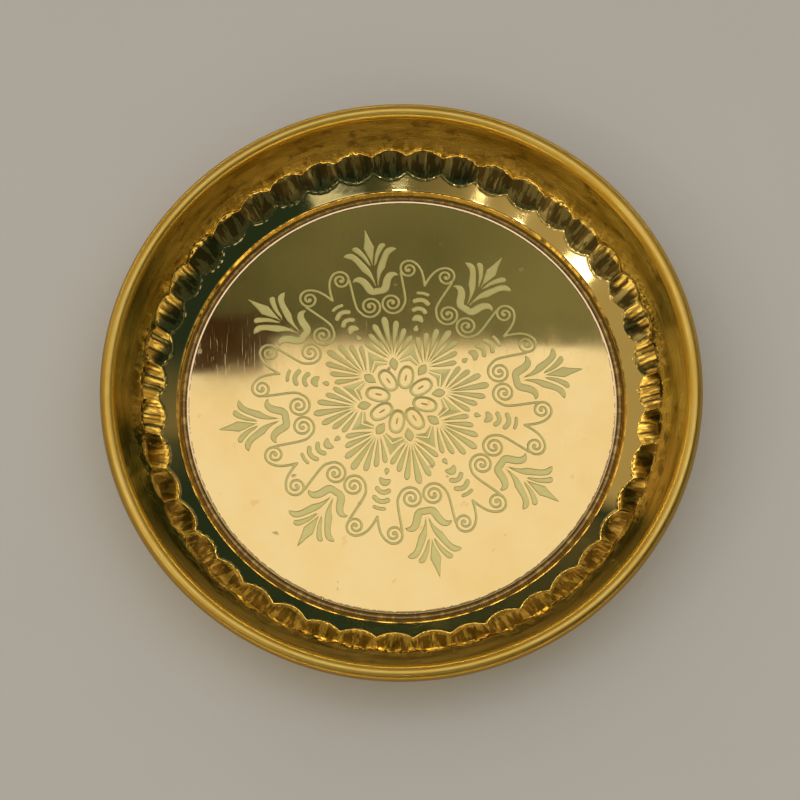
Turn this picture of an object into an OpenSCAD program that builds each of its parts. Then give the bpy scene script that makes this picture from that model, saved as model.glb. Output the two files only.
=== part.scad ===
// Round brass tray with a flat floor, a pressed standing ring, a wall with a
// row of rounded lobes and an edge rolled over a wire hoop.
// The origin is on the surface that the tray stands on, in the middle of the
// tray, with +Z up. All lengths are in millimetres.

/* [Tray] */
// Outside diameter over the rolled edge
tray_d = 305; // [303:0.5:307]
// Overall height
tray_h = 43.3; // [43:0.1:45]
// Thickness of the brass sheet
sheet_t = 1.2; // [1:0.1:1.3]

/* [Floor and standing ring] */
// Diameter of the flat floor
floor_d = 225.2; // [224:0.2:227]
// Height of the floor's upper face above the surface the tray stands on
floor_z = 2.7; // [2.4:0.1:3]
// Width of the flat bottom of the pressed groove
groove_w = 1.4; // [1:0.1:2]
// Radial run of the groove's inner slope
groove_in = 1.1; // [0.8:0.1:1.4]
// Radial run of the groove's outer slope
groove_out = 2.3; // [1.8:0.1:2.6]
// Height of the ledge at the wall's foot above the floor
ledge_h = 2.6; // [2:0.1:3]

/* [Wall] */
// Slope of the wall's lower part
low_slope = 31.5; // [31:0.5:32]
// Slope of the wall's upper part where it starts
high_slope = 57.5; // [56.5:0.5:58]
// Distance up the lower part to the corner between the two parts
low_run = 15.8; // [15.6:0.1:16]
// Radius of that corner
corner_r = 14; // [12:1:15]
// Distance that the rolled edge stands in from the line of the wall
edge_neck = 2.5; // [2.2:0.1:2.8]

/* [Lobes] */
// Number of lobes round the wall
lobe_n = 43; // [42:1:44]
// Distance up the wall's lower part to the foot of a lobe
lobe_from = 7.5; // [7:0.1:8]
// Distance up the wall's upper part, from the corner, to the top of a lobe
lobe_to = 8.1; // [7.6:0.1:8.6]
// Radius of a lobe's rounded face
lobe_r = 80; // [75:1:90]
// Bearing of the first lobe
lobe_bearing = 40.7; // [0:0.1:360]

/* [Rolled edge] */
// Outside diameter of the rolled edge
edge_d = 8; // [7.6:0.1:9]
// Play between the wire and the inside of the roll
wire_play = 0.05; // [0.02:0.01:0.1]
// Gap between the two ends of the wire hoop
wire_gap = 0.6; // [0.3:0.1:2]
// Bearing of the gap between the ends of the wire hoop
wire_gap_bearing = 215; // [0:1:360]
// Direction, round the wire, of the slit where the sheet's edge ends
slit_dir = 243; // [238:1:260]
// Angle round the wire that the slit takes up
slit_angle = 8; // [5:1:14]

/* [Hidden] */

brass = [0.80, 0.62, 0.28];
wire_brass = [0.66, 0.53, 0.30];

// How far the room inside the tray is cut above its edge.
above = 30;
// Half width and depth of a bar that raises a lobe, wider than its pitch,
// and how far the bar runs past the lobe's two ends.
bar_half = 12;
bar_deep = 6;
bar_past = 2;
// Sides of a full turn round the tray, of the wall's arcs and of the roll.
turn_parts = 360;
arc_parts = 240;
ring_parts = 96;

floor_r = floor_d / 2;
groove_r1 = floor_r + groove_in;
groove_r2 = groove_r1 + groove_w;
ledge_z = floor_z + ledge_h;
ledge = [groove_r2 + groove_out, ledge_z];
groove_z = sheet_t;

edge_r = edge_d / 2;
bore_r = edge_r - sheet_t;
wire_r = bore_r - wire_play;
edge_c = [tray_d / 2 - edge_r, tray_h - edge_r];

// Directions up the wall's two parts, and the way out through the sheet.
low_dir = [cos(low_slope), sin(low_slope)];
high_dir = [cos(high_slope), sin(high_slope)];
low_out = [sin(low_slope), -cos(low_slope)];
high_out = [sin(high_slope), -cos(high_slope)];

// The corner between the parts, rounded from corner_a to corner_b.
corner = ledge + low_run * low_dir;
corner_cut = corner_r * tan((high_slope - low_slope) / 2);
corner_a = corner - corner_cut * low_dir;
corner_b = corner + corner_cut * high_dir;
corner_c = corner_a - corner_r * low_out;

// The upper part is a slight arc from the corner to the neck of the roll.
wall_top = [edge_c.x - edge_neck, edge_c.y];
wall_run = wall_top - corner_b;
wall_rise = atan2(wall_run.y, wall_run.x);
wall_r = norm(wall_run) / (2 * sin(wall_rise - high_slope));
wall_c = corner_b - wall_r * high_out;

// A lobe's face runs straight from its foot to its top.
lobe_a = ledge + lobe_from * low_dir;
lobe_b = corner + lobe_to * high_dir;
lobe_run = lobe_b - lobe_a;
lobe_slope = atan2(lobe_run.y, lobe_run.x);

// Lower edges of the groove's slopes, one sheet thickness below the upper ones.
slope_in = norm([groove_in, floor_z - groove_z]);
slope_out = norm([groove_out, ledge_z - groove_z]);
ring_slope = atan2(ledge_z - groove_z, groove_out);
foot_r1 = groove_r1 - sheet_t * (slope_in - groove_in) / (floor_z - groove_z);
foot_r2 = groove_r2 + sheet_t * (slope_out - groove_out) / (ledge_z - groove_z);
under_r = foot_r1 - (floor_z - sheet_t) * groove_in / (floor_z - groove_z);
heel_slope = (ring_slope + low_slope) / 2;
heel_out = sheet_t / cos((ring_slope - low_slope) / 2);
heel = ledge + heel_out * [sin(heel_slope), -cos(heel_slope)];

// Part of the upper wall's arc, from a height up to the neck of the roll.
module upper_arc(radius, from_z, to_z) {
    intersection() {
        translate(wall_c) circle(r = radius, $fn = arc_parts);
        translate([ledge.x, from_z]) square([edge_c.x - ledge.x, to_z - from_z]);
    }
}

// Half section of the tray as if it were filled to the middle of the roll.
module filled_section() {
    polygon([
        [0, floor_z - sheet_t], [under_r, floor_z - sheet_t],
        [foot_r1, 0], [foot_r2, 0], heel,
        corner_a + sheet_t * low_out, corner_b + sheet_t * high_out,
        wall_top, [0, edge_c.y]
    ]);
    translate(corner_c) circle(r = corner_r + sheet_t, $fn = arc_parts);
    upper_arc(wall_r + sheet_t, corner_b.y + sheet_t * high_out.y, edge_c.y);
    translate(edge_c) circle(r = edge_r, $fn = ring_parts);
}

// Half section of the room inside the tray, down to the sheet's upper face.
module room_section() {
    difference() {
        union() {
            polygon([
                [0, floor_z], [floor_r, floor_z],
                [groove_r1, groove_z], [groove_r2, groove_z], ledge,
                corner_a, corner_b, wall_top,
                [wall_top.x, tray_h + above], [0, tray_h + above]
            ]);
            translate(corner_c) circle(r = corner_r, $fn = arc_parts);
            upper_arc(wall_r, corner_b.y, edge_c.y);
        }
        translate(edge_c) circle(r = edge_r, $fn = ring_parts);
    }
}

// Half section of the hollow in the rolled edge, with the slit below it.
module roll_section() {
    translate(edge_c) {
        circle(r = bore_r, $fn = ring_parts);
        polygon([
            [0, 0],
            2 * edge_r * [cos(slit_dir), sin(slit_dir)],
            2 * edge_r * [cos(slit_dir + slit_angle), sin(slit_dir + slit_angle)]
        ]);
    }
}

// The bars that raise the lobes, set back from the lobes' faces by a distance.
module lobe_bars(back) {
    for (i = [0 : lobe_n - 1])
        rotate([0, 0, lobe_bearing + i * 360 / lobe_n])
            translate([lobe_a.x, 0, lobe_a.y])
                rotate([0, 90 - lobe_slope, 0])
                    translate([0, 0, -bar_past])
                        linear_extrude(height = norm(lobe_run) + 2 * bar_past)
                            intersection() {
                                translate([lobe_r, 0])
                                    circle(r = lobe_r - back, $fn = arc_parts);
                                translate([0, -bar_half])
                                    square([bar_deep, 2 * bar_half]);
                            }
}

// One spun sheet: floor, standing ring, lobed wall and rolled edge.
module dish() {
    color(brass)
        difference() {
            rotate_extrude($fn = turn_parts) filled_section();
            difference() {
                rotate_extrude($fn = turn_parts) room_section();
                lobe_bars(0);
            }
            rotate_extrude($fn = turn_parts) roll_section();
            lobe_bars(sheet_t);
        }
}

// The hoop of wire that the sheet's edge is rolled over, with its butt joint.
module rim_wire() {
    color(wire_brass)
        difference() {
            rotate_extrude($fn = turn_parts)
                translate(edge_c) circle(r = wire_r, $fn = ring_parts);
            rotate([0, 0, wire_gap_bearing])
                translate([edge_c.x - edge_r, -wire_gap / 2, edge_c.y - edge_r])
                    cube([edge_d, wire_gap, edge_d]);
        }
}

dish();
rim_wire();
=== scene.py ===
"""A round brass tray: etched rosette on a polished floor, lobed wall, rolled edge."""
import math

import bpy
import numpy as np
from mathutils import Matrix, Vector
from mathutils.geometry import delaunay_2d_cdt
from mathutils.kdtree import KDTree


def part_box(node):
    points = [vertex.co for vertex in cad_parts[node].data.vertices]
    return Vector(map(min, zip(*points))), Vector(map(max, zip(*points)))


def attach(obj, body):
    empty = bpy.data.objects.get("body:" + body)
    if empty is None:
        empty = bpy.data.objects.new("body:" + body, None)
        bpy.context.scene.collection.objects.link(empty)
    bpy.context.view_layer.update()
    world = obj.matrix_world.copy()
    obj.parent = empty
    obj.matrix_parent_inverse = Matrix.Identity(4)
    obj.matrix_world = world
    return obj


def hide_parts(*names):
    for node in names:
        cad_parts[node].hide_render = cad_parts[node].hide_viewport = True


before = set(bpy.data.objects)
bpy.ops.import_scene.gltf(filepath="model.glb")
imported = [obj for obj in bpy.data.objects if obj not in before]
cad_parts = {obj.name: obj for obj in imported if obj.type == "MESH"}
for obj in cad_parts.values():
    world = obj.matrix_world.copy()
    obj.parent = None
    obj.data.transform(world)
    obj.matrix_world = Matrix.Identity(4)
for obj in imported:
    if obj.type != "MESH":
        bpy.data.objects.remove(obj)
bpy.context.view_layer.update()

# ---------------------------------------------------------------- dimensions
# Lengths are in millimetres up to the point where a mesh is made. The outside
# radius and the height come from the solid model's box, and the rest of the
# sheet has the sizes that the solid model is drawn with.
MM = 0.001
low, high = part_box("dish")
OUTER_R = (high.x - low.x) / 2 / MM
TRAY_H = high.z / MM
SHEET = 1.2

FLOOR_R = 112.6
FLOOR_Z = 2.7
GROOVE = [(1.1, -1.5), (1.4, 0.0), (2.3, 4.1)]  # runs and rises from the floor's edge
LOW_SLOPE = math.radians(31.5)
HIGH_SLOPE = math.radians(57.5)
LOW_RUN = 15.8
CORNER_R = 14.0

EDGE_R = 4.0
EDGE_C = (OUTER_R - EDGE_R, TRAY_H - EDGE_R)
EDGE_NECK = 2.5
SLIT_FROM, SLIT_TO = math.radians(243), math.radians(251)

LOBES = 43
LOBE_BEARING = math.radians(40.7)
LOBE_FROM = 7.5
LOBE_TO = 8.1
LOBE_R = 80.0

# What the maker's hand adds to those shapes. A lobe strays in its place, its
# depth, its radius (as a share of it) and its lean.
LOBE_STRAY = (0.2, 0.05, 0.05, 0.10)
LOBE_HOLLOW = 0.12  # how far a lobe's face sags between its ends
LOBE_SOFTNESS = 0.12  # of the crease where a lobe meets the wall
VALLEY_SOFTNESS = 0.06  # of the crease between two lobes
DITCH_DEPTH = 0.11  # of the line that the press leaves round each lobe
DITCH_WIDTH = 0.13
DITCH_WAVES = 9  # how many waves round the tray make its depth uneven
DITCH_FEWEST, DITCH_MOST = 60, 240  # crests of such a wave
DITCH_UNEVEN = 0.5
LIP_RUN, LIP_RISE = 0.8, 0.15  # of the floor's edge, which turns up a little

# The floor is a plate and the wall a ring round it. The ring reaches a little
# way under the plate's edge, so that no gap shows at the seam.
SEAM_IN = 1.2  # from the floor's edge in to the seam
SEAM_LAP, SEAM_STEP = 0.05, 0.002
SEAM_R = FLOOR_R - SEAM_IN

ETCH_DEPTH = 0.14
ETCH_SHOULDER = 0.40  # how far in from its outline the ground is that deep
GROUND_STEP = 0.004  # from the floor down to the ground's border
POCKET_MORE = 0.12  # how much deeper the plate's pockets are than the ground
POCKET_GAP = 0.01  # from a pocket's bottom up to the ground's underside

# The ornament sits a little askew on the floor.
SECTORS = 8
HALF_SECTOR = 180 / SECTORS
ETCH_BEARING = 8.92  # degrees from +Y to the first fleur
ETCH_OFFSET = (0.0, 1.0)
ETCH_SKEW = ((1.0053, -0.0163), (-0.0163, 0.9947))

# How finely the surfaces are cut up.
COLUMNS = LOBES * 36
LOW_ROWS, TURN_ROWS, HIGH_ROWS = 46, 30, 70
ROLL_COLUMNS, ROLL_OUTSIDE, ROLL_INSIDE = 600, 76, 40
DISC_SIDES = 10
DASH_SIDES = 12
BORDER_STEP = 0.08
WELD = 0.0001
SHARP = math.radians(60)  # faces that meet at more than this aren't shaded as one
SHORTEST, TINY = 1e-6, 1e-9  # keep lengths off 0 where they divide


# ---------------------------------------------------------------- 2D drawing
def turned(points, degrees):
    a = math.radians(degrees)
    c, s = math.cos(a), math.sin(a)
    return [(c * x - s * y, s * x + c * y) for x, y in points]


def mirrored(points):
    return [(-x, y) for x, y in reversed(points)]


def smooth(points, step=0.45):
    """A round curve through the points, ends included (centripetal Catmull-Rom)."""
    p = [np.array(q, float) for q in points]
    if len(p) == 2:
        return [tuple(p[0]), tuple(p[1])]
    p = [2 * p[0] - p[1]] + p + [2 * p[-1] - p[-2]]
    out = []
    for a, b, c, d in zip(p, p[1:], p[2:], p[3:]):
        ta = 0.0
        tb = ta + max(np.linalg.norm(b - a), SHORTEST) ** 0.5
        tc = tb + max(np.linalg.norm(c - b), SHORTEST) ** 0.5
        td = tc + max(np.linalg.norm(d - c), SHORTEST) ** 0.5
        count = max(2, int(np.linalg.norm(c - b) / step))
        for i in range(count):
            t = tb + (tc - tb) * i / count
            e = (tb - t) / (tb - ta) * a + (t - ta) / (tb - ta) * b
            f = (tc - t) / (tc - tb) * b + (t - tb) / (tc - tb) * c
            g = (td - t) / (td - tc) * c + (t - tc) / (td - tc) * d
            h = (tc - t) / (tc - ta) * e + (t - ta) / (tc - ta) * f
            k = (td - t) / (td - tb) * f + (t - tb) / (td - tb) * g
            out.append(tuple((tc - t) / (tc - tb) * h + (t - tb) / (tc - tb) * k))
    out.append(tuple(p[-2]))
    return out


def joined(*runs):
    """One outline from stretches that share their end points, so that corners stay sharp."""
    out = []
    for run in runs:
        out += smooth(run)[:-1]
    return out + [runs[-1][-1]]


def both_sides(*runs):
    """A closed outline from its right half, which starts and ends on the axis."""
    right = joined(*runs)
    return right + mirrored(right)[1:-1]


def volute(centre, radius, start, turns, sense, pitch=2.7, step=12):
    """A spiral that tightens by pitch each turn, from a start in degrees; sense 1 is anticlockwise."""
    count = int(abs(turns) * 360 / step)
    out = []
    for i in range(count + 1):
        t = turns * i / count
        a = math.radians(start + sense * 360 * t)
        r = radius - pitch * t
        out.append((centre[0] + r * math.cos(a), centre[1] + r * math.sin(a)))
    return out


def stroke(path, width, caps=6):
    """The outline of a line of the given width along a path, with round ends."""
    p = np.array(path, float)
    d = np.gradient(p, axis=0)
    d /= np.linalg.norm(d, axis=1)[:, None]
    n = np.stack([-d[:, 1], d[:, 0]], 1) * width / 2

    def cap(end, side):
        ahead = np.array([-side[1], side[0]])
        angles = [-math.pi * i / caps for i in range(1, caps)]
        return [tuple(end + math.cos(a) * side + math.sin(a) * ahead) for a in angles]

    there, back = [tuple(q) for q in p + n], [tuple(q) for q in (p - n)[::-1]]
    return there + cap(p[-1], n[-1]) + back + cap(p[0], -n[0])


def leaf(spine, half_width, tip=3.0, base=0.08, swell=0.9):
    """A leaf that widens from a narrow base and ends in a round tip of the given length."""
    p = np.array(smooth(spine, 0.6), float)
    d = np.gradient(p, axis=0)
    along = np.concatenate([[0], np.cumsum(np.linalg.norm(np.diff(p, axis=0), axis=1))])
    body = along[-1] - tip
    round_end = body + tip * np.sin(np.linspace(0.15, 1.57, 9))
    dense = np.concatenate([np.linspace(0, body, 16), round_end])
    x = np.stack([np.interp(dense, along, p[:, k]) for k in (0, 1)], 1)
    d = np.stack([np.interp(dense, along, d[:, k]) for k in (0, 1)], 1)
    d /= np.linalg.norm(d, axis=1)[:, None]
    n = np.stack([-d[:, 1], d[:, 0]], 1)
    w = np.where(
        dense < body,
        base + (half_width - base) * (dense / body) ** swell,
        half_width * np.sqrt(np.clip(1 - ((dense - body) / tip) ** 2, 0, 1)),
    )[:, None]
    return [tuple(q) for q in x + n * w] + [tuple(q) for q in (x - n * w)[-2::-1]]


# ---------------------------------------------------------------- the rosette
# Motifs on a fleur's axis are drawn with that axis up. Those between two
# fleurs are drawn with their own axis up, half a sector round.
def almond(foot, top, half_width, power, sides=36):
    """An oval on the axis; the higher the power, the more pointed its ends."""
    half = []
    for i in range(sides + 1):
        t = i / sides
        up = foot + (top - foot) * (1 - math.cos(math.pi * t)) / 2
        half.append((half_width * math.sin(math.pi * t) ** power, up))
    return half + mirrored(half)[1:-1]


def fleur():
    spear = both_sides(
        [(0, 97.3), (0.75, 94.5), (1.65, 90.6), (2.85, 86.6)],
        [(2.85, 86.6), (1.7, 82.6), (0.65, 79.2), (0, 76.2)],
    )
    inner_leaf = joined(
        [(0.85, 76.0), (2.3, 81.6), (4.1, 85.2), (5.9, 87.6), (7.4, 88.2), (8.8, 87.5), (8.9, 86.3)],
        [(8.9, 86.3), (6.6, 84.0), (4.0, 80.5), (2.1, 77.0), (0.85, 76.0)],
    )
    outer_leaf = joined(
        [(0.45, 64.2), (0.95, 69.4), (1.9, 73.6), (3.4, 76.7), (5.3, 79.8), (7.2, 82.6), (9.1, 84.5),
         (11.0, 85.1), (12.8, 84.8), (14.4, 83.7)],
        [(14.4, 83.7), (12.7, 82.6), (10.9, 81.7), (9.3, 80.0), (8.0, 77.6), (6.9, 75.3), (6.2, 73.8)],
        [(6.2, 73.8), (4.2, 71.7), (2.5, 69.1), (1.4, 66.4), (0.45, 64.2)],
    )
    calyx = both_sides(
        [(0, 59.5), (3.4, 59.7), (5.5, 61.0), (6.8, 63.4), (7.8, 65.9), (9.3, 67.9), (10.8, 68.5),
         (12.3, 68.4)],
        [(12.3, 68.4), (11.9, 69.6), (10.3, 70.8), (8.4, 71.1), (6.5, 70.3), (4.9, 68.7), (3.6, 66.5),
         (2.7, 64.3), (1.8, 63.1), (1.0, 63.4), (0, 63.2)],
    )
    return [spear, inner_leaf, mirrored(inner_leaf), outer_leaf, mirrored(outer_leaf), calyx]


def scroll():
    """The scrolls beside a fleur: two lines on each side that curl up round a disc."""
    line, disc_r = 1.32, 1.05
    low_eye, low_r = (5.85, 53.43), 5.73
    high_eye, high_r = (18.5, 70.8), 4.93
    inner = volute(low_eye, low_r, -90, 1.74, -1)
    lead = volute(low_eye, low_r, -90, -0.14, -1)[::-1]
    stem = smooth([lead[0], (12.75, 52.7), (13.45, 56.5), (13.7, 62.5), (13.9, 69.6)])[::-1]
    low_path = stem + lead[1:] + inner[1:]
    upper = volute(high_eye, high_r, 90, 1.46, 1)
    arch = smooth([(24.95, 60.2), (25.2, 65.5), (24.7, 69.7), (23.2, 73.0), (20.9, 75.2), upper[0]])
    high_path = arch + upper[1:]
    shapes = [stroke(low_path, line), stroke(high_path, line)]
    disc = almond(-disc_r, disc_r, disc_r, 1, DISC_SIDES)
    for (x, y), (eye_x, eye_y) in ((low_path[-1], low_eye), (high_path[-1], high_eye)):
        shapes.append([(px + (x + eye_x) / 2, py + (y + eye_y) / 2) for px, py in disc])
    return shapes + [mirrored(s) for s in shapes]


def palmette():
    leaves = [
        leaf([(0, 24.9), (0, 46.7)], 1.85, 3.2),
        leaf([(0.75, 25.0), (2.0, 30), (3.5, 35), (5.1, 40), (6.2, 43.5)], 1.62, 2.9),
        leaf([(1.35, 24.4), (3.4, 27.6), (5.3, 30.8), (7.6, 34.6), (9.5, 38.5)], 1.5, 2.7),
        leaf([(1.9, 23.3), (3.7, 24.9), (6.1, 27.0), (8.6, 29.6), (12.4, 33.8)], 1.42, 2.6),
    ]
    drop = both_sides(
        [(0, 23.5), (1.2, 22.5), (2.1, 21.2), (2.4, 20.0), (1.9, 18.4), (1.0, 17.1), (0, 15.9)],
    )
    return leaves + [mirrored(s) for s in leaves[1:]] + [drop]


def between():
    """What stands on the axis between two fleurs."""
    chevron_out = both_sides(
        [(0, 31.5), (5.75, 21.1)], [(5.75, 21.1), (5.3, 20.8)], [(5.3, 20.8), (0, 25.4)]
    )
    chevron_in = both_sides(
        [(0, 24.35), (4.95, 20.35)], [(4.95, 20.35), (4.3, 19.9)], [(4.3, 19.9), (0, 22.0)]
    )
    dot = both_sides([(0, 42.4), (0.75, 41.2), (1.35, 39.9), (1.0, 38.8), (0, 38.4)])
    bud = both_sides(
        [(0, 48.4), (1.5, 47.9), (2.6, 46.5), (3.1, 45.2), (2.75, 44.1), (1.4, 44.2), (0, 44.6)]
    )
    bars = [
        stroke(smooth([(-3.0, 50.3), (-1.6, 51.4), (0, 51.75), (1.6, 51.4), (3.0, 50.3)]), 2.5),
        stroke(smooth([(-3.5, 55.3), (-1.8, 56.4), (0, 56.75), (1.8, 56.4), (3.5, 55.3)]), 2.55),
        stroke(smooth([(-2.6, 60.3), (0, 60.65), (2.6, 60.3)]), 1.85),
    ]
    return [chevron_out, chevron_in, dot, bud] + bars


def petal():
    """A petal round the plain middle: its outline, the hole in it, and the dash in the hole."""
    outline = almond(5.8, 19.1, 4.25, 0.78)
    hole = almond(7.5, 17.4, 2.85, 0.78)
    dash = almond(10.3, 14.0, 0.5, 0.7, DASH_SIDES)
    return outline, hole, dash


def placed(points, bearing):
    """An outline turned to its bearing on the floor, and made to run anticlockwise."""
    (a, b), (c, d) = ETCH_SKEW
    area = sum(p[0] * q[1] - q[0] * p[1] for p, q in zip(points, points[1:] + points[:1]))
    points = points if area > 0 else points[::-1]
    return [
        (a * x + b * y + ETCH_OFFSET[0], c * x + d * y + ETCH_OFFSET[1])
        for x, y in turned(points, bearing)
    ]


def rosette():
    """Etched outlines in the tray's frame, the holes in the petals, and the dashes in the holes."""
    solid, holes, dashes = [], [], []
    for k in range(SECTORS):
        on_axis = ETCH_BEARING - 360 / SECTORS * k
        off_axis = on_axis - HALF_SECTOR
        for shape in fleur() + scroll() + palmette():
            solid.append(placed(shape, on_axis))
        for shape in between():
            solid.append(placed(shape, off_axis))
        outline, hole, dash = petal()
        solid.append(placed(outline, off_axis))
        holes.append(placed(hole, off_axis))
        dashes.append(placed(dash, off_axis))
    return solid, holes, dashes


# ---------------------------------------------------------------- mesh helpers
def mesh_piece(name, verts, faces, material, smooth_faces=True):
    """A piece of the dish, from vertices in millimetres."""
    mesh = bpy.data.meshes.new(name)
    mesh.from_pydata((np.asarray(verts, float) * MM).tolist(), [], [tuple(map(int, f)) for f in faces])
    mesh.validate()
    mesh.polygons.foreach_set("use_smooth", [smooth_faces] * len(mesh.polygons))
    if smooth_faces:
        mesh.set_sharp_from_angle(angle=SHARP)
    mesh.materials.append(material)
    piece = bpy.data.objects.new(name, mesh)
    bpy.context.scene.collection.objects.link(piece)
    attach(piece, "root")
    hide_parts("dish")


def ring_quads(rows, count):
    """Quads of a closed section of some rows that is turned round the axis in some columns."""
    i = np.arange(count)[:, None]
    j = np.arange(rows)[None, :]
    a = i * rows + j
    b = ((i + 1) % count) * rows + j
    c = ((i + 1) % count) * rows + (j + 1) % rows
    d = i * rows + (j + 1) % rows
    return np.stack([a, b, c, d], 2).reshape(-1, 4)


def revolved(section, count):
    """Vertices and quads of a closed section turned round the axis."""
    section = np.asarray(section, float)
    a = np.arange(count) * 2 * np.pi / count
    x = np.outer(np.cos(a), section[:, 0])
    y = np.outer(np.sin(a), section[:, 0])
    z = np.tile(section[:, 1], (count, 1))
    return np.stack([x, y, z], 2).reshape(-1, 3), ring_quads(len(section), count)


# ---------------------------------------------------------------- section
def rounded(corners, radii, steps=5):
    """A polyline whose inner corners are rounded; radii has one entry for each of them."""
    p = [np.array(c, float) for c in corners]
    out = [p[0]]
    for before, at, after, radius in zip(p, p[1:], p[2:], radii):
        a = at + (before - at) / np.linalg.norm(before - at) * radius
        b = at + (after - at) / np.linalg.norm(after - at) * radius
        for i in range(steps + 1):
            t = i / steps
            out.append((1 - t) ** 2 * a + 2 * t * (1 - t) * at + t * t * b)
    return np.array(out + [p[-1]])


def offset(points, distance):
    """A polyline set off to its right by a distance, its corners kept sharp."""
    p = np.array(points, float)
    d = np.diff(p, axis=0)
    d /= np.linalg.norm(d, axis=1)[:, None]
    n = np.stack([d[:, 1], -d[:, 0]], 1)
    middle = (n[:-1] + n[1:]) / (1 + np.sum(n[:-1] * n[1:], 1))[:, None]
    return p + distance * np.concatenate([n[:1], middle, n[-1:]])


def upward(slope):
    return np.array([math.cos(slope), math.sin(slope)])


def outward(slopes):
    """The way out through the sheet where the wall has these slopes."""
    return np.stack([np.sin(slopes), -np.cos(slopes)], -1)


groove = np.cumsum([(FLOOR_R, FLOOR_Z)] + GROOVE, axis=0)
ledge = groove[-1]
corner = ledge + LOW_RUN * upward(LOW_SLOPE)
corner_cut = CORNER_R * math.tan((HIGH_SLOPE - LOW_SLOPE) / 2)
corner_from = corner - corner_cut * upward(LOW_SLOPE)
corner_to = corner + corner_cut * upward(HIGH_SLOPE)
wall_top = np.array([EDGE_C[0] - EDGE_NECK, EDGE_C[1]])
wall_run = wall_top - corner_to
wall_turn = 2 * (math.atan2(wall_run[1], wall_run[0]) - HIGH_SLOPE)
wall_r = np.linalg.norm(wall_run) / (2 * math.sin(wall_turn / 2))
lobe_foot = ledge + LOBE_FROM * upward(LOW_SLOPE)
lobe_run = corner + LOBE_TO * upward(HIGH_SLOPE) - lobe_foot
lobe_length = np.linalg.norm(lobe_run)
lobe_slope = math.atan2(lobe_run[1], lobe_run[0])


def wall_line(start=1.0, end=0.96):
    """Points up the wall's inner face, without its lobes, and the slope at each.

    They start a little above the ledge, which the foot's rounding takes up, and
    end at a share of the upper arc, inside the rolled edge.
    """
    lower = np.linspace(start, LOW_RUN - corner_cut, LOW_ROWS, endpoint=False)
    turn = np.linspace(LOW_SLOPE, HIGH_SLOPE, TURN_ROWS, endpoint=False)
    upper = np.linspace(HIGH_SLOPE, HIGH_SLOPE + end * wall_turn, HIGH_ROWS)
    points = np.concatenate([
        ledge + lower[:, None] * upward(LOW_SLOPE),
        corner_from + CORNER_R * (outward(turn) - outward(LOW_SLOPE)),
        corner_to + wall_r * (outward(upper) - outward(HIGH_SLOPE)),
    ])
    return points, np.concatenate([np.full(len(lower), LOW_SLOPE), turn, upper])


def lobe_heights(points, bearings, below, seed=7):
    """How far the lobes stand in from the wall; below is the depth of these points under its face."""
    rng = np.random.default_rng(seed)
    none_near = -5.0
    rise = np.full((len(bearings), len(points)), none_near)
    pitch = 2 * math.pi / LOBES
    reach = 1.2 * pitch
    for k in range(LOBES):
        side, deep, wide, lean = rng.normal(0, 1, 4) * LOBE_STRAY
        off = (bearings - LOBE_BEARING - k * pitch + math.pi) % (2 * math.pi) - math.pi
        near = np.abs(off) < reach
        off = off[near][:, None]
        x = points[None, :, 0] * np.cos(off) - lobe_foot[0]
        z = points[None, :, 1] - lobe_foot[1]
        along = (x * math.cos(lobe_slope) + z * math.sin(lobe_slope)) / lobe_length - 0.5
        depth = x * math.sin(lobe_slope) - z * math.cos(lobe_slope) - below
        across = points[None, :, 0] * np.sin(off) + side
        round_face = across**2 / (2 * LOBE_R * (1 + wide))
        sag = LOBE_HOLLOW * (1 - 4 * along**2)
        height = depth - round_face - sag + deep + lean * along
        gap = rise[near] - height
        rise[near] = (rise[near] + height + np.sqrt(gap**2 + VALLEY_SOFTNESS**2)) / 2
    crests = rng.integers(DITCH_FEWEST, DITCH_MOST, DITCH_WAVES)
    waves = sum(np.cos(k * bearings + rng.uniform(0, 7)) for k in crests)
    uneven = 1 + DITCH_UNEVEN * waves / math.sqrt(DITCH_WAVES)
    ditch = DITCH_DEPTH * uneven[:, None] * np.exp(-(((rise + DITCH_WIDTH) / DITCH_WIDTH) ** 2))
    return (rise + np.sqrt(rise**2 + LOBE_SOFTNESS**2)) / 2 - ditch


def build_wall(material):
    """The groove, the ledge and the lobed wall, as one closed ring of sheet."""
    half_lobe = 0.5 * COLUMNS / LOBES
    bearings = LOBE_BEARING + (np.arange(COLUMNS) + half_lobe) * 2 * math.pi / COLUMNS
    line, slopes = wall_line()
    lip = [(FLOOR_R - LIP_RUN, FLOOR_Z), (FLOOR_R, FLOOR_Z + LIP_RISE)]
    upper_foot = [(SEAM_R - SEAM_LAP, FLOOR_Z - SEAM_STEP), *lip, *groove[1:], line[0]]
    lower_foot = [(SEAM_R, FLOOR_Z), *groove, line[0]]
    # Of each face of the sheet: its depth below the upper one, which rows of the
    # wall it keeps, its foot, and the rounding at each of the foot's corners.
    faces = []
    for below, every, foot, radii in (
        (0.0, 1, upper_foot, [0.08, 0.15, 0.5, 0.5, 0.6]),
        (SHEET, 2, lower_foot, [0.3, 0.5, 0.5, 0.6]),
    ):
        face = (line + below * outward(slopes))[::every]
        push = lobe_heights(face, bearings, below)
        r = face[None, :, 0] - push * math.sin(lobe_slope)
        z = face[None, :, 1] + push * math.cos(lobe_slope)
        start = np.tile(rounded(offset(foot, below), radii)[:-1], (COLUMNS, 1, 1))
        faces.append(np.concatenate([start, np.stack([r, z], 2)], 1))
    ring = np.concatenate([faces[0], faces[1][:, ::-1]], 1)
    r, z = ring[..., 0], ring[..., 1]
    verts = np.stack([r * np.cos(bearings)[:, None], r * np.sin(bearings)[:, None], z], 2)
    quads = ring_quads(r.shape[1], COLUMNS)[:, ::-1]
    mesh_piece("lobed_wall", verts.reshape(-1, 3), quads, material)


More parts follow.
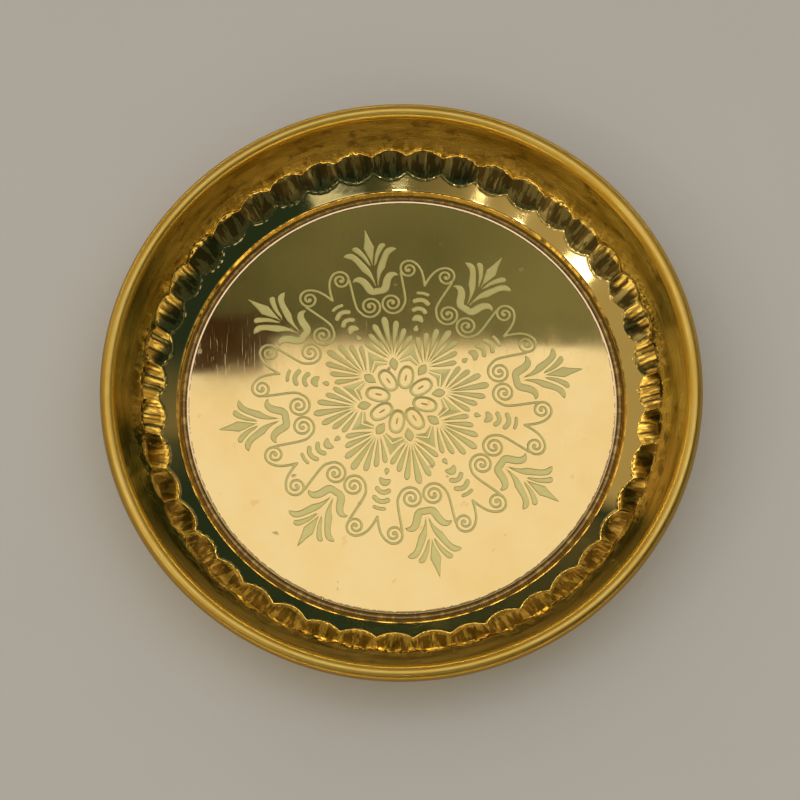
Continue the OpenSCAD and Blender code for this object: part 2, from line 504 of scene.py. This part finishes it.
def build_edge(material):
    """The sheet's edge, rolled round the wire, with the slit where it ends."""
    inner = EDGE_R - SHEET
    full = 2 * math.pi
    outside = np.linspace(SLIT_TO, SLIT_FROM + full, ROLL_OUTSIDE)
    inside = np.linspace(SLIT_FROM + full, SLIT_TO, ROLL_INSIDE)
    section = [(EDGE_C[0] + EDGE_R * math.cos(a), EDGE_C[1] + EDGE_R * math.sin(a)) for a in outside]
    section += [(EDGE_C[0] + inner * math.cos(a), EDGE_C[1] + inner * math.sin(a)) for a in inside]
    verts, faces = revolved(section, ROLL_COLUMNS)
    mesh_piece("rolled_edge", verts, faces, material)


# ---------------------------------------------------------------- etched floor
def inset(points, distance, keep=0.9):
    """Points a distance inside an outline, without those that come nearer to another part of it."""
    p = np.array(points, float)
    after = np.roll(p, -1, 0)
    area = np.sum(p[:, 0] * after[:, 1] - after[:, 0] * p[:, 1])
    d = after - np.roll(p, 1, 0)
    d /= np.maximum(np.linalg.norm(d, axis=1), TINY)[:, None]
    n = np.stack([-d[:, 1], d[:, 0]], 1) * (1 if area > 0 else -1)
    q = p + n * distance
    side = after - p
    t = np.sum((q[:, None] - p[None]) * side[None], 2) / np.maximum(np.sum(side * side, 1), TINY)[None]
    nearest = p[None] + np.clip(t, 0, 1)[..., None] * side[None]
    gap = np.linalg.norm(q[:, None] - nearest, axis=2).min(1)
    return q[gap > distance * keep]


def winding(points, outline):
    """How many times an outline goes round each point."""
    p = np.array(outline, float)
    q = np.roll(p, -1, 0)
    x, y = points[:, 0:1], points[:, 1:2]
    up = (p[:, 1] <= y) & (q[:, 1] > y)
    down = (p[:, 1] > y) & (q[:, 1] <= y)
    left = (q[:, 0] - p[:, 0]) * (y - p[:, 1]) - (x - p[:, 0]) * (q[:, 1] - p[:, 1])
    return np.sum(up & (left > 0), 1) - np.sum(down & (left < 0), 1)


def covered(points, outlines):
    """Which points lie in any of the outlines."""
    hit = np.zeros(len(points), bool)
    for outline in outlines:
        lowest, highest = np.min(outline, 0), np.max(outline, 0)
        near = np.flatnonzero(np.all((points > lowest) & (points < highest), 1) & ~hit)
        if len(near):
            hit[near] = winding(points[near], outline) != 0
    return hit


def etched_plan():
    """The floor cut up along the rosette: points, triangles, and which triangles are etched."""
    solid, holes, dashes = rosette()
    rim = [
        (SEAM_R * math.cos(a), SEAM_R * math.sin(a))
        for a in np.linspace(0, 2 * math.pi, COLUMNS, endpoint=False)
    ]
    points, edges = [], []
    for loop in [rim] + solid + holes + dashes:
        first, count = len(points), len(loop)
        points += loop
        edges += [(first + i, first + (i + 1) % count) for i in range(count)]
    for loop in solid + dashes:
        points += [tuple(q) for q in inset(loop, ETCH_SHOULDER)]
    out = delaunay_2d_cdt([Vector(p) for p in points], edges, [], 0, WELD)
    verts = np.array([(v.x, v.y) for v in out[0]])
    tris = np.array([tuple(f) for f in out[2]])
    middle = verts[tris].mean(1)
    etched = (covered(middle, solid) & ~covered(middle, holes)) | covered(middle, dashes)
    return verts, tris, etched


def border_edges(tris, chosen):
    """Directed edges that bound the chosen triangles."""
    t = tris[chosen]
    edges = np.concatenate([t[:, [0, 1]], t[:, [1, 2]], t[:, [2, 0]]])
    seen = {(int(a), int(b)) for a, b in edges}
    return [(a, b) for a, b in seen if (b, a) not in seen]


def slab(verts, tris, top, bottom):
    """A closed solid over some triangles, between two sets of heights."""
    used = np.unique(tris)
    index = {int(v): i for i, v in enumerate(used)}
    n = len(used)
    xyz = np.concatenate(
        [np.column_stack([verts[used], top[used]]), np.column_stack([verts[used], bottom[used]])]
    )
    t = np.vectorize(index.get)(tris)
    faces = [tuple(f) for f in t] + [tuple(f + n) for f in t[:, ::-1]]
    for a, b in border_edges(tris, np.ones(len(tris), bool)):
        i, j = index[a], index[b]
        faces.append((j, i, i + n, j + n))
    return xyz, faces


def distance_to(edges, verts):
    """How far each point is from the nearest of some edges."""
    samples = []
    for a, b in edges:
        length = np.linalg.norm(verts[b] - verts[a])
        for t in np.linspace(0, 1, max(2, int(length / BORDER_STEP))):
            samples.append(verts[a] + t * (verts[b] - verts[a]))
    tree = KDTree(len(samples))
    for i, s in enumerate(samples):
        tree.insert((s[0], s[1], 0), i)
    tree.balance()
    return np.array([tree.find((v[0], v[1], 0))[2] for v in verts])


def build_floor(polished, etched_material):
    """The polished floor with the rosette's pockets, and the etched ground in the pockets."""
    verts, tris, etched = etched_plan()
    first, second, third = (verts[tris[:, k]] for k in range(3))
    clockwise = np.cross(second - first, third - first) < 0
    tris[clockwise] = tris[clockwise][:, ::-1]
    inside = np.unique(tris[etched])
    gap = np.zeros(len(verts))
    gap[inside] = distance_to(border_edges(tris, etched), verts)[inside]
    pocket = FLOOR_Z - ETCH_DEPTH - POCKET_MORE
    ground = FLOOR_Z - GROUND_STEP - ETCH_DEPTH * np.clip(gap / ETCH_SHOULDER, 0, 1)
    underside = np.full(len(verts), pocket + POCKET_GAP)

    xyz, faces = floor_with_pockets(verts, tris, etched, FLOOR_Z, pocket, FLOOR_Z - SHEET)
    mesh_piece("dish_floor", xyz, faces, polished, smooth_faces=False)
    xyz, faces = slab(verts, tris[etched], ground, underside)
    mesh_piece("etched_rosette", xyz, faces, etched_material, smooth_faces=False)


def floor_with_pockets(verts, tris, etched, top, pocket, bottom):
    """A closed plate whose top steps down to the pockets' bottoms along the etched outlines."""
    n = len(verts)
    xyz = np.concatenate([np.column_stack([verts, np.full(n, z)]) for z in (top, pocket, bottom)])
    faces = [tuple(t + (n if e else 0)) for t, e in zip(tris, etched)]
    faces += [tuple(t[::-1] + 2 * n) for t in tris]
    for a, b in border_edges(tris, etched):
        faces.append((a, b, b + n, a + n))
    for a, b in border_edges(tris, np.ones(len(tris), bool)):
        faces.append((b, a, a + 2 * n, b + 2 * n))
    used = np.unique(np.concatenate([np.array(f) for f in faces]))
    index = np.full(3 * n, -1)
    index[used] = np.arange(len(used))
    return xyz[used], [tuple(index[list(f)]) for f in faces]


# ---------------------------------------------------------------- materials
class Nodes:
    """A short way to write the nodes of a material or a world."""

    def __init__(self, block):
        block.use_nodes = True
        self.block = block
        self.tree = block.node_tree
        self.shader = self.tree.nodes.get("Principled BSDF")

    def add(self, kind, inputs=None, **settings):
        node = self.tree.nodes.new("ShaderNode" + kind)
        for key, value in settings.items():
            setattr(node, key, value)
        for key, value in (inputs or {}).items():
            self.put(node.inputs[key], value)
        return node

    def put(self, socket, value):
        if isinstance(value, bpy.types.NodeSocket):
            self.tree.links.new(value, socket)
        elif isinstance(value, tuple) and len(value) == 3 and socket.type == "RGBA":
            socket.default_value = (*value, 1)
        else:
            socket.default_value = value

    def set(self, **inputs):
        for key, value in inputs.items():
            self.put(self.shader.inputs[key.replace("_", " ")], value)

    def where(self, scale=(1, 1, 1), turn=0.0):
        """Places on the object, in metres, stretched and turned about the axis."""
        place = self.add("TexCoord").outputs["Object"]
        inputs = {"Vector": place, "Scale": scale, "Rotation": (0, 0, math.radians(turn))}
        return self.add("Mapping", inputs).outputs[0]

    def around_axis(self):
        """How far a place is from the tray's axis, its bearing, and its height, in metres."""
        x, y, height = self.add("SeparateXYZ", {0: self.add("TexCoord").outputs["Object"]}).outputs
        out = self.math("SQRT", self.plus(self.times(x, x), self.times(y, y)))
        return out, self.math("ARCTAN2", y, x), height

    def noise(self, scale, detail=4.0, rough=0.55, vector=None, distortion=0.0):
        inputs = {"Scale": scale, "Detail": detail, "Roughness": rough, "Distortion": distortion}
        inputs["Vector"] = vector or self.where()
        return self.add("TexNoise", inputs).outputs["Fac"]

    def stripes(self, place, scale, detail):
        """Noise that changes with one value only."""
        inputs = {"W": place, "Scale": scale, "Detail": detail}
        return self.add("TexNoise", inputs, noise_dimensions="1D").outputs["Fac"]

    def ramp(self, value, low, high, bottom=0.0, top=1.0):
        """From bottom where the value is low to top where it is high; low may be the larger one."""
        inputs = {"Value": value, "From Min": low, "From Max": high, "To Min": bottom, "To Max": top}
        return self.add("MapRange", inputs, clamp=True).outputs[0]

    def fade(self, place, limits):
        """0 at the first of two places and 1 at the second, both in millimetres."""
        return self.ramp(place, limits[0] * MM, limits[1] * MM)

    def mix(self, factor, a, b):
        # The node's colour inputs are 6 and 7, and its colour output is 2.
        node = self.add("Mix", data_type="RGBA")
        self.put(node.inputs[0], factor)
        self.put(node.inputs[6], a)
        self.put(node.inputs[7], b)
        return node.outputs[2]

    def math(self, operation, a, b=0.0):
        node = self.add("Math", operation=operation)
        self.put(node.inputs[0], a)
        self.put(node.inputs[1], b)
        return node.outputs[0]

    def plus(self, a, b):
        return self.math("ADD", a, b)

    def minus(self, a, b):
        return self.math("SUBTRACT", a, b)

    def larger(self, a, b):
        return self.math("MAXIMUM", a, b)

    def times(self, product, *others):
        for other in others:
            product = self.math("MULTIPLY", product, other)
        return product

    def bump(self, height, strength, distance, under=None):
        inputs = {"Height": height, "Strength": strength, "Distance": distance}
        if under is not None:
            inputs["Normal"] = under
        return self.add("Bump", inputs).outputs[0]

    def scratches(self, turn, across, along):
        """Thin lines in one direction, 1 on a scratch and 0 between."""
        lines = self.noise(1.0, 2.0, 0.5, self.where((across, along, across), turn), 0.2)
        return self.ramp(lines, 0.66, 0.72)


CLEAN = (0.92, 0.715, 0.285)
WARM = (0.90, 0.67, 0.24)
# Tarnish for the floor's spots, and painted shade at the groove's bottom.
TARNISH_AND_SHADE = (0.36, 0.25, 0.10)
# Painted shade on the groove's outer slope.
GROOVE_SHADE = (0.58, 0.43, 0.15)
# A painted highlight along the floor's edge.
FLOOR_EDGE_HIGHLIGHT = (0.97, 0.76, 0.44)
STAINED = (0.78, 0.47, 0.14)
PATINA = (0.38, 0.26, 0.055)
STAIN = (0.13, 0.08, 0.02)
# Painted shade on the lobes.
LOBE_SHADE = (0.30, 0.19, 0.05)
EDGE_CLEAN = (0.96, 0.67, 0.155)
EDGE_WARM = (0.90, 0.585, 0.105)
# Painted shade on the rolled edge's outside.
EDGE_SHADE = (0.42, 0.25, 0.06)
ETCHED = (0.98, 0.88, 0.34)
ETCHED_DULL = (0.93, 0.83, 0.30)
WIRE_PALE = (0.62, 0.45, 0.2)
WIRE_DULL = (0.5, 0.34, 0.14)

# Where the looks of the wall and of the rolled edge change, in millimetres:
# each look is absent at the first value and full at the second.
# Heights:
GROOVE_BOTTOM = (2.4, 1.7)
GROOVE_SLOPE = (5.2, 4.4)
LIP_TOP = (2.2, 2.4)
LOBES_UP_TO = (20.5, 18.5)
PATINA_FROM = (18.5, 21.5)
GLINTS_UP_TO = (27.0, 21.5)
SMEARS_FROM = (20.0, 23.0)
RIPPLES_FROM, RIPPLES_UP_TO = (18.5, 21.0), (28.0, 23.5)
RINGS_FROM = (21.0, 25.0)
# Distances from the axis:
LIP_FROM, LIP_UP_TO = (111.7, 111.9), (113.0, 112.8)
PAST_FLOOR = (112.7, 112.9)
EDGE_SHADE_FROM = (149.2, 152.2)
# How far a place stands in from the plain wall:
ON_LOBE = (0.03, 0.10)
# Painted glints on the lobes: absent where they stand in 0.60 mm, full at 0.30 mm.
LOBE_GLINT = (0.60, 0.30)


def polished_brass():
    """Mirror polish with faint clouds, a few spots and stains, and scratches in two directions."""
    n = Nodes(bpy.data.materials.new("polished_brass"))
    cloudy = n.noise(26, 5, 0.6)
    tone = n.mix(n.ramp(cloudy, 0.40, 0.66), CLEAN, WARM)
    spots = n.ramp(n.noise(150, 2, 0.4), 0.735, 0.79)
    tone = n.mix(n.times(spots, 0.55), tone, TARNISH_AND_SHADE)
    small_stains = n.ramp(n.noise(110, 2, 0.5), 0.70, 0.75)
    large_stains = n.ramp(n.noise(17, 5, 0.7), 0.62, 0.80, 0.0, 0.5)
    stains = n.larger(small_stains, large_stains)
    n.set(Base_Color=n.mix(n.times(stains, 0.45), tone, STAINED), Metallic=1.0)
    fine = n.larger(n.scratches(20, 2600, 70), n.scratches(-43, 2200, 60))
    rough = n.plus(n.ramp(cloudy, 0.35, 0.7, 0.035, 0.085), n.times(fine, 0.05))
    n.set(Roughness=n.plus(rough, n.times(spots, 0.2)))
    wavy = n.bump(n.noise(30, 2, 0.5), 0.35, 0.00006)
    n.set(Normal=n.bump(fine, 0.10, 0.00002, wavy))
    return n.block


def wall_brass():
    """Brass like the floor's, with painted shade on the lobes, brown above them, and painted shade in
    the groove.
    """
    n = Nodes(bpy.data.materials.new("wall_brass"))
    out, bearing, height = n.around_axis()
    along = n.times(bearing, corner[0] * MM)
    on_wall = n.add("CombineXYZ", {0: along, 1: n.times(height, 0.3)}).outputs[0]
    cloudy = n.noise(34, 5, 0.62)
    tone = n.mix(n.ramp(cloudy, 0.38, 0.66), CLEAN, WARM)

    # How far a place stands in from the plain lower wall tells where the lobes are.
    #     They are darkened with painted shade, broken by bright patches, with painted glints in
    #     strokes where they rise little.
    up, away = math.cos(LOW_SLOPE), math.sin(LOW_SLOPE)
    level = (ledge[1] * up - ledge[0] * away) * MM
    rise = n.minus(n.minus(n.times(height, up), n.times(out, away)), level)
    on_lobe = n.times(n.fade(rise, ON_LOBE), n.fade(height, LOBES_UP_TO))
    glint_strokes = n.ramp(n.noise(620, 2, 0.5, on_wall), 0.47, 0.56)
    lobe_glint = n.times(n.fade(rise, LOBE_GLINT), n.plus(glint_strokes, 0.35))
    patches = n.ramp(n.noise(230, 3, 0.6, on_wall), 0.50, 0.56)
    lobe_shade = n.times(on_lobe, n.minus(0.9, n.larger(lobe_glint, patches)))
    # Painted shade darkens the lobes; the painted glints and the bright patches lift it.
    tone = n.mix(n.larger(lobe_shade, 0.0), tone, LOBE_SHADE)

    # The upper wall has a patina with worn places, painted glints low down and dark smears.
    worn = n.ramp(n.noise(1.0, 5, 0.6, n.where((28, 28, 170))), 0.36, 0.60, 1.0, 0.35)
    bright = n.ramp(n.noise(210, 3, 0.6, on_wall), 0.50, 0.56)
    glints = n.times(n.fade(height, GLINTS_UP_TO), bright)
    above = n.times(n.fade(height, PATINA_FROM), worn, n.minus(1.0, glints))
    tone = n.mix(above, tone, PATINA)
    smears = n.ramp(n.noise(1.0, 4, 0.7, n.where((75, 75, 190))), 0.56, 0.66, 0.0, 0.65)
    tone = n.mix(n.times(smears, n.fade(height, SMEARS_FROM)), tone, STAIN)

    # The groove is darkened with painted shade, and the floor's edge beside it is painted pale as a
    # painted highlight.
    mottled = n.noise(160, 3, 0.6, on_wall)
    slope = n.times(n.fade(height, GROOVE_SLOPE), n.ramp(mottled, 0.35, 0.60, 0.95, 0.45))
    tone = n.mix(n.times(slope, n.fade(out, PAST_FLOOR)), tone, GROOVE_SHADE)
    groove_shade = n.times(n.fade(height, GROOVE_BOTTOM), n.ramp(mottled, 0.40, 0.52, 0.35, 1.0))
    tone = n.mix(groove_shade, tone, TARNISH_AND_SHADE)
    edge_highlight = n.times(n.fade(out, LIP_FROM), n.fade(out, LIP_UP_TO), n.fade(height, LIP_TOP))
    # Painted highlight: the floor's edge is paler.
    n.set(Base_Color=n.mix(edge_highlight, tone, FLOOR_EDGE_HIGHLIGHT), Metallic=1.0)

    rough = n.plus(n.ramp(cloudy, 0.35, 0.7, 0.05, 0.10), n.times(above, 0.05))
    rough = n.plus(rough, n.times(groove_shade, 0.25))
    n.set(Roughness=n.plus(rough, n.times(edge_highlight, 0.04)))
    wavy = n.bump(n.noise(130, 2, 0.5), 0.30, 0.00006)
    rippled = n.times(n.fade(height, RIPPLES_FROM), n.fade(height, RIPPLES_UP_TO))
    ripples = n.bump(n.times(n.noise(260, 1, 0.5), rippled), 1.0, 0.00016, wavy)
    turning_lines = n.noise(1.0, 2, 0.6, n.where((14, 14, 1500)))
    rings = n.times(turning_lines, n.fade(height, RINGS_FROM))
    n.set(Normal=n.bump(rings, 0.5, 0.00006, ripples))
    return n.block


def satin_brass():
    """The rolled edge: satin, warmer in places and painted darker on its outside, as painted shade."""
    n = Nodes(bpy.data.materials.new("satin_brass"))
    tone = n.mix(n.ramp(n.noise(40, 4, 0.6), 0.4, 0.68), EDGE_CLEAN, EDGE_WARM)
    out = n.around_axis()[0]
    # Painted shade: darker towards the outside of the rolled edge.
    n.set(Base_Color=n.mix(n.fade(out, EDGE_SHADE_FROM), tone, EDGE_SHADE), Metallic=1.0)
    n.set(Roughness=n.ramp(n.noise(120, 3, 0.6), 0.3, 0.7, 0.28, 0.37))
    n.set(Normal=n.bump(n.noise(350, 2, 0.5), 0.10, 0.00008))
    return n.block


def etched_brass():
    """The ornament's ground: matte, with the fine grain that acid leaves."""
    n = Nodes(bpy.data.materials.new("etched_brass"))
    cloudy = n.noise(120, 4, 0.6)
    n.set(Base_Color=n.mix(n.ramp(cloudy, 0.35, 0.7), ETCHED, ETCHED_DULL), Metallic=1.0)
    n.set(Roughness=n.ramp(n.noise(2500, 3, 0.6), 0.3, 0.7, 0.32, 0.44))
    n.set(Normal=n.bump(n.noise(3200, 3, 0.7), 0.30, 0.00004))
    return n.block


def drawn_wire():
    n = Nodes(bpy.data.materials.new("brass_wire"))
    n.set(Base_Color=n.mix(n.noise(500, 3), WIRE_PALE, WIRE_DULL), Metallic=1.0)
    n.set(Roughness=n.ramp(n.noise(1500, 3), 0.3, 0.7, 0.35, 0.55))
    return n.block


def plain_material(name, scale, detail, one, other, roughness):
    """A dull material that varies a little between two colours."""
    n = Nodes(bpy.data.materials.new(name))
    n.set(Base_Color=n.mix(n.noise(scale, detail), one, other), Roughness=roughness)
    return n.block


# ---------------------------------------------------------------- the studio
# The room that the brass mirrors is plain and made up: -Y is the viewer's side.
ROOM_LOW = (0.070, 0.066, 0.042)
ROOM_NORTH = (0.018, 0.034, 0.028)
ROOM_HAZE = (0.17, 0.15, 0.09)
ROOM_WINDOW = (0.34, 0.30, 0.20)
ROOM_GLINT = (4.8, 3.6, 1.4)
ROOM_HIGH = (0.22, 0.20, 0.15)
ROOM_CEILING = (0.080, 0.086, 0.050)
ROOM_CEILING_EAST = (0.250, 0.250, 0.165)
ROOM_WEST = (0.40, 0.33, 0.20)
ROOM_EAST = (0.28, 0.23, 0.13)
BACKDROP = (0.72, 0.72, 0.71)

# Place, size and radiance of the small lamps that the wall's lobes mirror.
LAMPS = [
    ((-1.30, -0.40, 1.30), (0.26, 0.12), 6.0),
    ((-1.05, -0.95, 1.55), (0.07, 0.05), 18.0),
    ((-0.75, -1.20, 1.65), (0.07, 0.05), 18.0),
    ((-0.05, -1.45, 1.75), (0.12, 0.06), 14.0),
    ((0.55, -1.40, 1.70), (0.50, 0.25), 0.75),
]
OVERHEAD_TURN = math.radians(-3)

CARD_Z = 1.66
CARD = [(-0.31, 0.54), (-0.20, 0.54), (-0.15, 0.63), (-0.31, 0.63)]
CARD_BROWN, CARD_DARK = (0.15, 0.07, 0.03), (0.09, 0.045, 0.02)
FLOOR_HALF = 8.0
FLOOR_PALE, FLOOR_GREY = (0.75, 0.74, 0.72), (0.70, 0.69, 0.67)

CAMERA_ELEVATION = math.radians(73.47)
CAMERA_ROLL = math.radians(1.888)
CAMERA_DISTANCE = 1.0064
CAMERA_SHIFT = (-0.0008, 0.00056)  # to its right and up
CAMERA_LENS, CAMERA_SENSOR = 86.35, 36


def studio_world():
    """The room in the brass: dark to the north, and pale round the middle of its other sides."""
    world = bpy.data.worlds.new("studio")
    bpy.context.scene.world = world
    n = Nodes(world)
    n.tree.nodes.clear()
    way = n.add("TexCoord").outputs["Generated"]
    x, y, z = n.add("SeparateXYZ", {0: way}).outputs
    around = n.math("ARCTAN2", y, x)
    southwest = n.plus(n.times(x, -0.77), n.times(y, -0.64))

    # Low down the walls are dark, with a haze and windows to the southwest.
    posts = n.stripes(around, 3.6, 3.0)
    slats = n.stripes(z, 34.0, 1.0)
    panes = n.times(n.ramp(posts, 0.53, 0.55), n.ramp(slats, 0.44, 0.48, 0.25, 1.0))
    panes = n.times(panes, n.ramp(southwest, -0.20, 0.85))
    paler = n.times(n.ramp(posts, 0.38, 0.43), n.ramp(southwest, -0.60, 0.0))
    walls = n.mix(paler, ROOM_NORTH, ROOM_LOW)
    walls = n.mix(n.ramp(southwest, 0.75, 0.95, 0.0, 0.7), walls, ROOM_HAZE)
    low_room = n.mix(panes, walls, ROOM_WINDOW)

    # High up they are dark but to the north, and the ceiling is paler to the northeast.
    high_north = n.times(n.ramp(z, 0.46, 0.60), n.ramp(y, 0.10, 0.50))
    high_room = n.mix(high_north, ROOM_NORTH, ROOM_HIGH)
    clouds = n.ramp(n.noise(9, 3, 0.6, way), 0.30, 0.70, -0.07, 0.07)
    northeast = n.times(n.ramp(n.plus(x, clouds), -0.05, 0.13), n.ramp(y, 0.29, 0.33))
    ceiling = n.mix(northeast, ROOM_CEILING, ROOM_CEILING_EAST)
    room = n.mix(n.ramp(z, 0.40, 0.46), low_room, high_room)
    room = n.mix(n.ramp(z, 0.80, 0.92), room, ceiling)

    # A pale band, leaning a little, runs round the walls everywhere but to the north.
    sides = n.mix(n.ramp(x, 0.35, 0.60), ROOM_WEST, ROOM_EAST)
    from_below = n.ramp(n.plus(z, n.times(y, 0.35)), 0.34, 0.44)
    from_above = n.ramp(n.plus(z, n.times(x, 0.25)), 0.80, 0.62)
    not_north = n.ramp(n.plus(y, n.times(x, 0.19)), 0.56, 0.50)
    room = n.mix(n.times(from_below, from_above, not_north), room, sides)

    # A broken line of bright light runs low round the walls, weaker to the east and west.
    broken = n.ramp(n.stripes(around, 23.0, 3.0), 0.47, 0.52)
    line = n.times(n.ramp(z, 0.11, 0.13), n.ramp(z, 0.25, 0.23), broken)
    line = n.times(line, n.ramp(n.math("ABSOLUTE", y), 0.30, 0.80, 0.25, 1.0))
    room = n.mix(line, room, ROOM_GLINT)

    mirrored_room = n.add("Background", {"Color": room}).outputs[0]
    backdrop = n.add("Background", {"Color": BACKDROP}).outputs[0]
    seen = n.add("LightPath").outputs["Is Camera Ray"]
    both = n.add("MixShader", {0: seen, 1: mirrored_room, 2: backdrop})
    n.add("OutputWorld", {0: both.outputs[0]})


def area_light(name, place, size, radiance, colour=(1, 1, 1)):
    """A rectangular light that faces down; radiance is how bright a mirror shows it."""
    data = bpy.data.lights.new(name, "AREA")
    data.shape = "RECTANGLE"
    data.size, data.size_y = size
    data.color = colour
    data.energy = radiance * math.pi * size[0] * size[1]
    light = bpy.data.objects.new(name, data)
    bpy.context.scene.collection.objects.link(light)
    light.location = place
    return light


def studio_lights():
    """Two soft lights overhead, the small lamps, and a wide one that the brass doesn't mirror."""
    north = area_light(
        "overhead", place=(0, 0.34, 1.7), size=(2.4, 0.50), radiance=0.91, colour=(0.955, 0.875, 0.99)
    )
    south = area_light(
        "overhead_south", place=(-0.028, -0.199, 1.7), size=(2.4, 0.58), radiance=0.5,
        colour=(0.95, 0.885, 0.92),
    )
    for light in (north, south):
        light.rotation_euler = (0, 0, OVERHEAD_TURN)
    for k, (place, size, radiance) in enumerate(LAMPS):
        lamp = area_light(f"lamp_{k}", place, size, radiance)
        lamp.rotation_euler = (-Vector(place)).to_track_quat("-Z", "Y").to_euler()
    fill = area_light("ground_fill", place=(0, 0, 2.6), size=(12.0, 12.0), radiance=0.23)
    fill.visible_glossy = False
    fill.visible_camera = False


def stage_face(name, corners, material):
    """A flat face of the studio."""
    mesh = bpy.data.meshes.new(name)
    mesh.from_pydata(corners, [], [(0, 1, 2, 3)])
    mesh.materials.append(material)
    face = bpy.data.objects.new(name, mesh)
    bpy.context.scene.collection.objects.link(face)


def studio_card():
    """A brown card under the overhead light, which the tray's floor mirrors at its left."""
    brown = plain_material("brown_card", 9, 3, CARD_BROWN, CARD_DARK, 0.8)
    stage_face("card", [(x, y, CARD_Z) for x, y in CARD], brown)


def studio_floor():
    pale = plain_material("pale_floor", 6, 4, FLOOR_GREY, FLOOR_PALE, 0.85)
    sides = ((-1, -1), (1, -1), (1, 1), (-1, 1))
    stage_face("floor", [(x * FLOOR_HALF, y * FLOOR_HALF, 0) for x, y in sides], pale)


def photo_camera():
    """A camera that shows the tray's rim and floor with the outlines they have in the photo."""
    right = Vector((1, 0, 0))
    up = Vector((0, math.sin(CAMERA_ELEVATION), math.cos(CAMERA_ELEVATION)))
    back = Vector((0, -math.cos(CAMERA_ELEVATION), math.sin(CAMERA_ELEVATION)))
    middle = Vector((0, 0, FLOOR_Z * MM)) + CAMERA_SHIFT[0] * right + CAMERA_SHIFT[1] * up
    data = bpy.data.cameras.new("camera")
    data.sensor_width, data.lens = CAMERA_SENSOR, CAMERA_LENS
    camera = bpy.data.objects.new("camera", data)
    bpy.context.scene.collection.objects.link(camera)
    x = math.cos(CAMERA_ROLL) * right - math.sin(CAMERA_ROLL) * up
    y = math.sin(CAMERA_ROLL) * right + math.cos(CAMERA_ROLL) * up
    turn = Matrix((x, y, back)).transposed().to_4x4()
    camera.matrix_world = Matrix.Translation(middle + CAMERA_DISTANCE * back) @ turn
    bpy.context.scene.camera = camera


bpy.context.scene.view_settings.view_transform = "Standard"
photo_camera()
studio_world()
studio_lights()
studio_card()
studio_floor()

build_floor(polished_brass(), etched_brass())
build_wall(wall_brass())
build_edge(satin_brass())
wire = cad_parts["rim_wire"]
wire.data.materials.clear()
wire.data.materials.append(drawn_wire())
